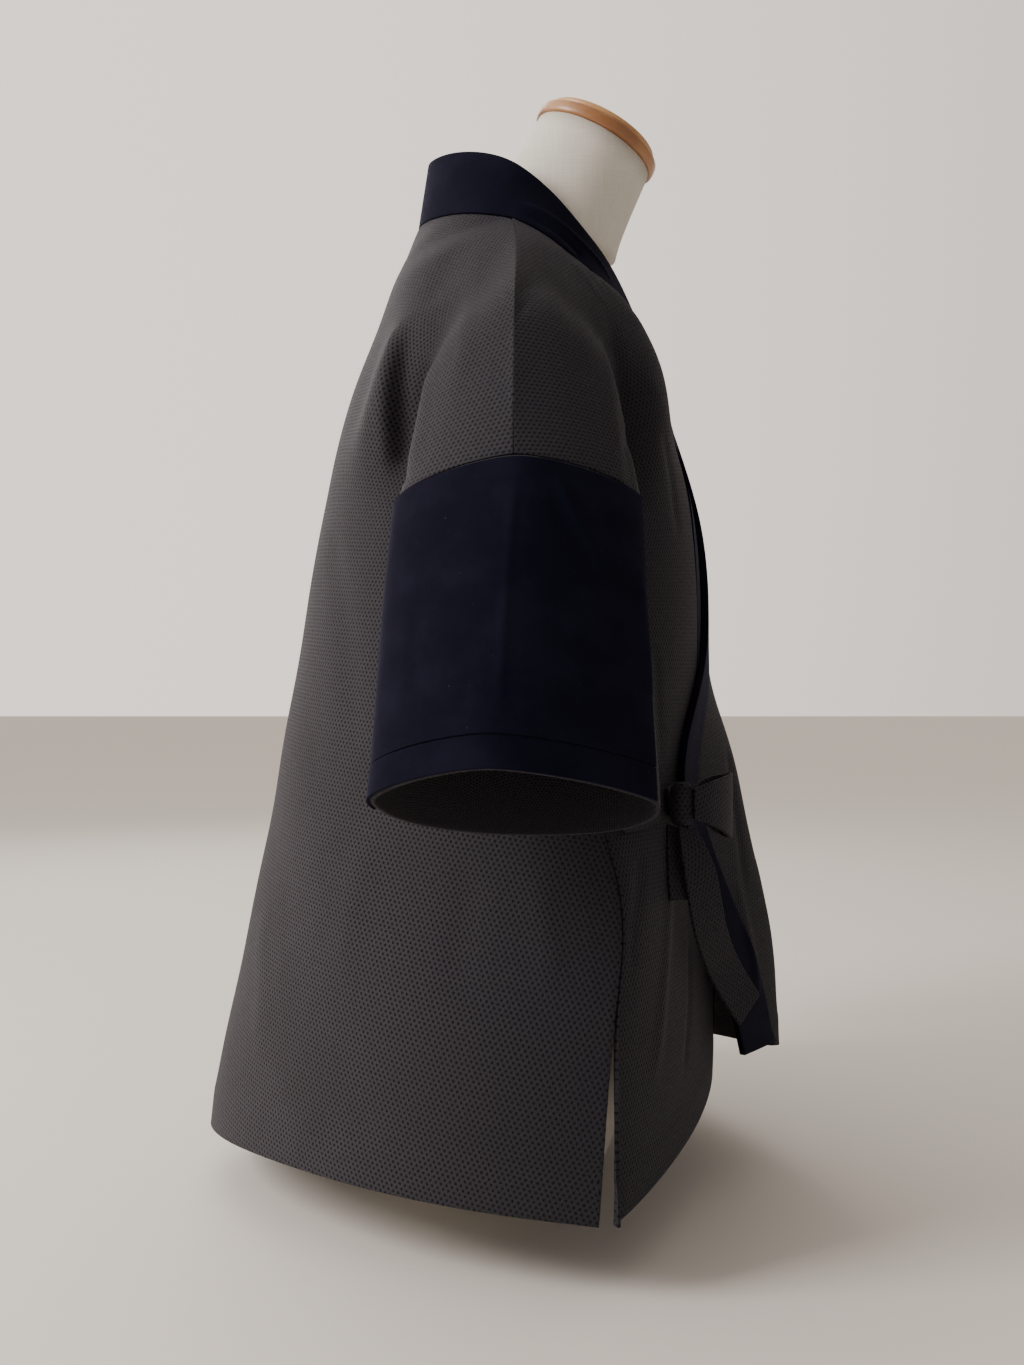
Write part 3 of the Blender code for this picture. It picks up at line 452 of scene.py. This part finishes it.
# %% Flat pattern
def flat_pattern(piece, top, foot):
    """Unwraps a skin, in metres, with the way from top to foot running down the pattern."""
    alone(piece)
    piece.data.uv_layers.new(name="flat")
    bpy.ops.object.mode_set(mode="EDIT")
    bpy.ops.mesh.select_all(action="SELECT")
    bpy.ops.uv.unwrap(method="ANGLE_BASED", margin=0.0)
    bpy.ops.object.mode_set(mode="OBJECT")
    mesh = piece.data
    flat = np.empty(len(mesh.loops) * 2)
    mesh.uv_layers["flat"].data.foreach_get("uv", flat)
    flat = flat.reshape(-1, 2)
    area, paper = 0.0, 0.0
    for face in mesh.polygons:
        area += face.area
        corners = flat[list(face.loop_indices)]
        x, y = corners[:, 0], corners[:, 1]
        paper += abs(np.dot(x, np.roll(y, -1)) - np.dot(y, np.roll(x, -1))) / 2
    flat *= math.sqrt(area / paper)
    of_point = {}
    for loop, spot in zip(mesh.loops, flat):
        of_point[loop.vertex_index] = spot
    places = np.array([vert.co for vert in mesh.vertices])
    ends = []
    for end in (top, foot):
        nearest = int(np.argmin(np.linalg.norm(places - np.array(end), axis=1)))
        ends.append(of_point[nearest])
    way = ends[1] - ends[0]
    turn = -math.pi / 2 - math.atan2(way[1], way[0])
    spin = np.array([[math.cos(turn), -math.sin(turn)], [math.sin(turn), math.cos(turn)]])
    flat = flat @ spin.T
    flat -= flat.min(axis=0)
    mesh.uv_layers["flat"].data.foreach_set("uv", flat.ravel())
    size = flat.max(axis=0)
    return float(size[0]), float(size[1]), float(area)


# %% Subdivide and thicken
def apply_modifier(piece, kind, **settings):
    alone(piece)
    modifier = piece.modifiers.new(kind.lower(), kind)
    for name, value in settings.items():
        setattr(modifier, name, value)
    bpy.ops.object.modifier_apply(modifier=modifier.name)


def subdivide(piece, levels):
    apply_modifier(
        piece,
        "SUBSURF",
        levels=levels,
        render_levels=levels,
        boundary_smooth="PRESERVE_CORNERS",
        uv_smooth="PRESERVE_BOUNDARIES",
    )


def thicken(piece, wall, rounding):
    """Gives a skin its wall, inwards, with rounded edges."""
    apply_modifier(piece, "SOLIDIFY", thickness=wall, offset=-1.0, use_even_offset=False)
    apply_modifier(
        piece,
        "BEVEL",
        width=rounding,
        segments=2,
        limit_method="ANGLE",
        angle_limit=math.radians(62),
        use_clamp_overlap=True,
    )
    for face in piece.data.polygons:
        face.use_smooth = True


# %% [markdown]
# ## Creases
# A thick knit doesn't wrinkle finely: it bends in long, soft troughs and ridges. Each one below is
# a line with a width and a depth, deepest near its middle. Those that the picture shows are put
# down by their place in it, and the hidden side gets similar ones of other sizes.

# %% Where the lines lie
def tree_of(*nodes):
    """A tree of the triangles of some solids, for rays and nearest places."""
    verts, faces = [], []
    for node in nodes:
        mesh = frame["nodes"][node].data
        start = len(verts)
        verts += [vert.co.copy() for vert in mesh.vertices]
        faces += [[start + i for i in face.vertices] for face in mesh.polygons]
    return BVHTree.FromPolygons(verts, faces)


CLOTH_NODES = [
    "back_panel", "right_front", "left_front", "right_sleeve", "left_sleeve",
    "right_patch", "left_patch", "right_cuff_band", "left_cuff_band", "collar_band",
]
all_cloth = tree_of(*CLOTH_NODES)


def seen(spots):
    """Places on the cloth behind places in the picture."""
    found = []
    for across, down in spots:
        place = all_cloth.ray_cast(EYE, ray_through(across, down))[0]
        if place is not None:
            found.append(place)
    return found


def fine_line(points, step=0.004):
    """A line through points with a point every few millimetres."""
    fine = []
    for a, b in zip(points, points[1:]):
        count = max(1, int((b - a).length / step))
        fine += [a.lerp(b, i / count) for i in range(count)]
    return fine + [points[-1]]


def mirrored(points, shift=(0.0, 0.0, 0.0)):
    return [Vector((p.x + shift[0], -p.y + shift[1], p.z + shift[2])) for p in points]


# %% The list of creases
# Each crease: its line, its width and its height in millimetres, where minus is a trough.
SEEN_CREASES = [
    ([(412, 318), (404, 350), (401, 385), (401, 420), (402, 455), (404, 486)], 8.0, -5.5),
    ([(399, 318), (388, 350), (383, 385), (383, 420), (386, 455), (391, 486)], 7.0, 2.6),
    ([(436, 318), (430, 352), (424, 392), (416, 436), (409, 476)], 8.0, 2.0),
    ([(609, 306), (616, 350), (621, 400), (627, 450), (632, 500)], 6.0, -1.8),
    ([(604, 310), (608, 360), (613, 410), (618, 455)], 7.0, 1.4),
    ([(556, 468), (571, 505), (590, 540), (612, 578)], 3.6, 1.7),
    ([(547, 480), (562, 520), (584, 556), (606, 590)], 5.0, -1.1),
    ([(517, 462), (511, 520), (507, 570), (503, 640), (499, 700), (492, 728)], 3.2, 0.9),
    ([(242, 950), (300, 975), (350, 985), (400, 1000), (480, 1008), (560, 1012), (594, 1017)], 3.4, -0.7),
    ([(310, 1132), (345, 1128), (382, 1124)], 11.0, -1.1),
    ([(560, 232), (580, 252), (600, 276), (612, 296)], 3.0, -0.8),
    ([(330, 520), (342, 600), (350, 690), (352, 760)], 13.0, -1.6),
    ([(372, 830), (352, 900), (340, 980)], 14.0, 1.5),
    ([(470, 860), (462, 930), (456, 990)], 12.0, -1.3),
    ([(540, 870), (545, 930), (552, 985)], 9.0, 1.2),
    ([(262, 900), (262, 980), (256, 1060)], 14.0, 1.4),
    ([(648, 800), (640, 860), (633, 930), (628, 1000)], 7.0, -1.5),
    ([(668, 850), (668, 920), (662, 1010), (652, 1090)], 9.0, 1.8),
    ([(690, 930), (690, 1000), (683, 1080)], 7.0, -1.5),
    ([(655, 640), (660, 700), (662, 760)], 6.0, -1.2),
    ([(640, 560), (648, 640), (652, 700)], 6.0, 1.0),
    ([(662, 420), (672, 480), (680, 540)], 7.0, -1.3),
    ([(725, 740), (738, 820), (748, 900)], 7.0, -1.6),
    ([(735, 870), (750, 940), (760, 1000)], 6.0, 1.5),
    ([(455, 245), (440, 280), (425, 312)], 10.0, -1.4),
    ([(480, 240), (470, 290), (462, 350), (452, 400)], 9.0, 1.3),
    ([(545, 262), (566, 300), (580, 350), (590, 400)], 9.0, -1.2),
    ([(420, 600), (414, 660), (410, 715)], 7.0, -0.7),
    ([(560, 610), (566, 660), (575, 720)], 7.0, -0.7),
    ([(455, 500), (448, 545)], 8.0, -0.6),
    ([(572, 258), (590, 280), (606, 304)], 4.0, 0.8),
]
ROLL = [(505, 202), (522, 204), (540, 210), (560, 222), (580, 240), (600, 262), (615, 285)]
UNDER_ROLL = [(520, 210), (540, 219), (560, 233), (580, 252), (598, 273)]
ROLLS = [(ROLL, 2.6, 1.9), (UNDER_ROLL, 3.6, -1.9)]
HIDDEN_CREASES = [
    ([(0.020, -0.150, 0.500), (0.150, 0.020, 0.440), (0.185, 0.070, 0.380)], 9.0, -1.6),
    ([(0.170, 0.080, 0.420), (0.175, 0.120, 0.300), (0.185, 0.110, 0.180)], 13.0, 1.8),
    ([(0.150, 0.160, 0.400), (0.160, 0.170, 0.280), (0.170, 0.160, 0.160)], 12.0, -1.7),
    ([(0.195, 0.010, 0.300), (0.210, 0.020, 0.220), (0.215, 0.015, 0.150)], 9.0, -1.4),
    ([(0.110, 0.120, 0.640), (0.140, 0.090, 0.540), (0.160, 0.060, 0.450)], 10.0, -1.8),
    ([(-0.160, 0.050, 0.560), (-0.190, 0.080, 0.440), (-0.200, 0.110, 0.330)], 14.0, 1.5),
    ([(-0.230, 0.030, 0.250), (-0.240, 0.050, 0.160), (-0.245, 0.045, 0.090)], 13.0, -1.5),
    ([(-0.180, -0.010, 0.540), (-0.200, -0.020, 0.400), (-0.215, -0.005, 0.280)], 15.0, -1.3),
]

creases = []
for spots, width, height in SEEN_CREASES + ROLLS:
    line = seen(spots)
    if len(line) > 1:
        creases.append((fine_line(line), width / 1000, height / 1000))
chance = random.Random(17)
for line, width, height in list(creases):
    shift = (chance.uniform(-0.008, 0.008), 0.0, chance.uniform(-0.012, 0.012))
    size = chance.uniform(0.7, 1.15)
    creases.append((mirrored(line, shift), width * chance.uniform(0.9, 1.2), height * size))
for places, width, height in HIDDEN_CREASES:
    line = [all_cloth.find_nearest(Vector(place))[0] for place in places]
    creases.append((fine_line(line), width / 1000, height / 1000))
print("Creases:", len(creases))


# %% Press the creases into a skin
REACH = 3.0
SWELL = 0.0005


def crease_heights(places, lines):
    """How far each place rises or sinks: deepest on a crease, and nothing far from it."""
    total = np.zeros(len(places))
    for line, width, height in lines:
        points = np.array(line)
        low, high = points.min(axis=0) - REACH * width, points.max(axis=0) + REACH * width
        near = np.where(np.all((places > low) & (places < high), axis=1))[0]
        if not len(near):
            continue
        gaps = np.linalg.norm(places[near, None] - points[None], axis=2)
        best = gaps.argmin(axis=1)
        away = gaps[np.arange(len(near)), best] / width
        along = best / max(1, len(points) - 1)
        fade = np.clip(np.minimum(along, 1 - along) * 4 + 0.12, 0, 1)
        total[near] += height * np.exp(-away ** 2) * fade * fade * (3 - 2 * fade)
    return total


def swell(places):
    """The slow, uneven waver of hanging cloth."""
    x, y, z = places.T
    waver = np.sin(31 * x + 17 * z + 2) + np.sin(27 * y - 23 * z)
    waver = waver + np.sin(43 * z + 19 * x - 29 * y + 1)
    return SWELL * waver


def press(piece, lines, soft=1.0):
    mesh = piece.data
    places = np.empty(len(mesh.vertices) * 3)
    ways = np.empty(len(mesh.vertices) * 3)
    mesh.vertices.foreach_get("co", places)
    mesh.vertices.foreach_get("normal", ways)
    places, ways = places.reshape(-1, 3), ways.reshape(-1, 3)
    height = crease_heights(places, lines) + soft * swell(places)
    mesh.vertices.foreach_set("co", (places + ways * height[:, None]).ravel())
    mesh.update()


# %% [markdown]
# ## Cutting out the panels
# One table holds each piece of cloth: its solid, its wall, how finely it is divided, the ends of
# its grain, and what it rests on. The sleeves are left as tubes, so their patterns open out as
# rings.

# %% Sheets of cloth
MESH_WALL, HEM_WALL, BAND_WALL, PATCH_WALL, TIE_WALL = 0.003, 0.0052, 0.0045, 0.0018, 0.0028
EDGE_ROUNDING = 0.22
MESH_WALLS = (MESH_WALL, HEM_WALL)


def cloth_piece(node, middle, walls, levels, ends, finish, strip=None):
    """One sheet of cloth in place of its solid."""
    piece = new_piece(f"{node}_cloth", outer_skin(node, middle, walls))
    width, length, area = flat_pattern(piece, *ends)
    subdivide(piece, levels)
    press(piece, creases, 0.3 if strip else 1.0)
    thicken(piece, walls[0], walls[0] * EDGE_ROUNDING)
    piece.data.materials.append(finish)
    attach(piece, "root")
    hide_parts(node)
    return piece


BACK_GRAIN = ((-0.08, 0.0, 0.787), (-0.25, 0.0, 0.032))
RIGHT_GRAIN = ((0.10, -0.12, 0.60), (0.15, -0.12, 0.06))
LEFT_GRAIN = ((0.10, 0.12, 0.60), (0.15, 0.12, 0.06))

COLLAR_WIDTH = 0.048
for node, levels, grain, rests_on in (
    ("back_panel", 2, BACK_GRAIN, "form_body"),
    ("right_front", 3, RIGHT_GRAIN, "form_body"),
    ("left_front", 3, LEFT_GRAIN, "right_front"),
):
    cloth_piece(node, body_middle, MESH_WALLS, levels, grain, mesh_cloth)
cloth_piece(
    "collar_band", body_middle, (BAND_WALL,), 3, BACK_GRAIN, collar_velvet,
    strip=COLLAR_WIDTH,
)

# %% Sleeves, patches and cuffs
CUFF_BAND_WIDTH = 0.026
for side, name in ((-1, "right"), (1, "left")):
    sleeve = f"{name}_sleeve"
    grain = ((0.004, side * 0.280, 0.551), (-0.014, side * 0.360, 0.304))
    middle = sleeve_middle(side)
    cloth_piece(sleeve, middle, (MESH_WALL,), 3, grain, mesh_cloth)
    cloth_piece(f"{name}_patch", middle, (PATCH_WALL,), 3, grain, patch_velvet)
    cloth_piece(
        f"{name}_cuff_band", middle, (PATCH_WALL,), 3, grain, patch_velvet,
        strip=CUFF_BAND_WIDTH,
    )

# %% [markdown]
# ## Ties and the bow
# The ties are narrow strips of the same mesh. They are finer copies of their solids, and the knot
# is a wrap of the same cloth.

# %% Ties
TIE_ENDS = {
    "side_tie": ((0.05, -0.229, 0.315), (0.11, -0.178, 0.315)),
    "front_tie": ((0.125, -0.1325, 0.315), (0.11, -0.1545, 0.315)),
    "bow_loop": ((0.1316, -0.1733, 0.316), (0.167, -0.115, 0.310)),
    "short_tail": ((0.118, -0.166, 0.2985), (0.1215, -0.182, 0.248)),
    "long_tail": ((0.1262, -0.1722, 0.2985), (0.182, -0.114, 0.153)),
}
TIE_WIDTH = 0.028
for node, ends in TIE_ENDS.items():
    cloth_piece(
        node, body_middle, (TIE_WALL,), 3, ends, tie_cloth,
        strip=TIE_WIDTH,
    )

# %% Knot
SHARP_ANGLE = math.radians(48)


def smooth_copy(node, name, levels, finish):
    """A finer copy of a solid, with its sharp edges kept."""
    work = bmesh.new()
    work.from_mesh(frame["nodes"][node].data)
    bmesh.ops.remove_doubles(work, verts=work.verts, dist=WELD)
    bmesh.ops.join_triangles(
        work,
        faces=work.faces,
        angle_face_threshold=math.radians(30),
        angle_shape_threshold=math.radians(60),
    )
    piece = new_piece(name, work)
    edge_crease = piece.data.attributes.new("crease_edge", "FLOAT", "EDGE")
    angles = bmesh.new()
    angles.from_mesh(piece.data)
    for i, edge in enumerate(angles.edges):
        edge_crease.data[i].value = 1.0 if edge.calc_face_angle(0) > SHARP_ANGLE else 0.0
    angles.free()
    alone(piece)
    piece.data.uv_layers.new(name="flat")
    bpy.ops.object.mode_set(mode="EDIT")
    bpy.ops.mesh.select_all(action="SELECT")
    bpy.ops.uv.cube_project(cube_size=1.0, correct_aspect=False)
    bpy.ops.object.mode_set(mode="OBJECT")
    subdivide(piece, levels)
    for face in piece.data.polygons:
        face.use_smooth = True
    piece.data.materials.append(finish)
    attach(piece, "root")
    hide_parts(node)
    return piece


smooth_copy("knot", "knot_wrap", 2, tie_cloth)

# %% [markdown]
# ## The dress form
# The linen is pulled tight over the form, so a finer copy of its solid is enough.

# %% Form and cap
smooth_copy("form_body", "form_cover", 2, linen_cloth)
smooth_copy("form_cap_ring", "cap_ring", 1, rim_wood)
smooth_copy("form_cap_dome", "cap_dome", 1, cap_wood)

# %% [markdown]
# ## Floor and light
# The picture's light comes from the upper left, behind the jacket: the back and the rear half of
# the sleeve are lit and the front lies in shade. One large soft light stands there, a weaker one
# fills from the right, and the pale surroundings, brighter on the left, do the rest.

# %% Floor
bpy.ops.mesh.primitive_plane_add(size=30.0, location=(0, 0, 0))
floor = bpy.context.object
floor.name = "floor"
pale = Finish("pale_floor", 0.9)
cloudy = pale.noise(pale.place(), 3.0) * 0.3
pale.colour(pale.blend(cloudy, (0.70, 0.65, 0.60, 1), (0.74, 0.69, 0.64, 1)))
floor.data.materials.append(pale.material)

# %% Lights
def soft_light(name, place, aim, power, size, shade=(1, 1, 1)):
    bpy.ops.object.light_add(type="AREA", location=place)
    lamp = bpy.context.object
    lamp.name = name
    lamp.data.energy = power
    lamp.data.size = size
    lamp.data.color = shade
    lamp.rotation_euler = (Vector(aim) - Vector(place)).to_track_quat("-Z", "Y").to_euler()


soft_light("window_light", (-2.1, -0.9, 1.7), (0, 0, 0.45), 74, 1.1, (1.0, 0.97, 0.94))
soft_light("fill_light", (1.7, -1.7, 1.0), (0, 0, 0.4), 3, 2.0, (0.88, 0.92, 1.0))
soft_light("back_light", (-0.8, 1.9, 1.7), (0, 0, 0.5), 22, 1.6)

# %% Surroundings
world = bpy.data.worlds.new("room")
bpy.context.scene.world = world
world.use_nodes = True
sky = world.node_tree


class Room(Finish):
    """The same shader maths for the surroundings."""

    def __init__(self, tree):
        self.tree = tree


room = Room(sky)
way_x, way_y, way_z = room.parts(room.add("ShaderNodeTexCoord", None, None, "Generated"))
brightness = room.step(way_y * 0.62 - way_x * 0.80 + way_z * 0.15, -0.75, 0.95)
room.put(sky.nodes["Background"].inputs["Strength"], brightness * 1.45 + 0.20)
sky.nodes["Background"].inputs["Color"].default_value = (0.90, 0.82, 0.74, 1)
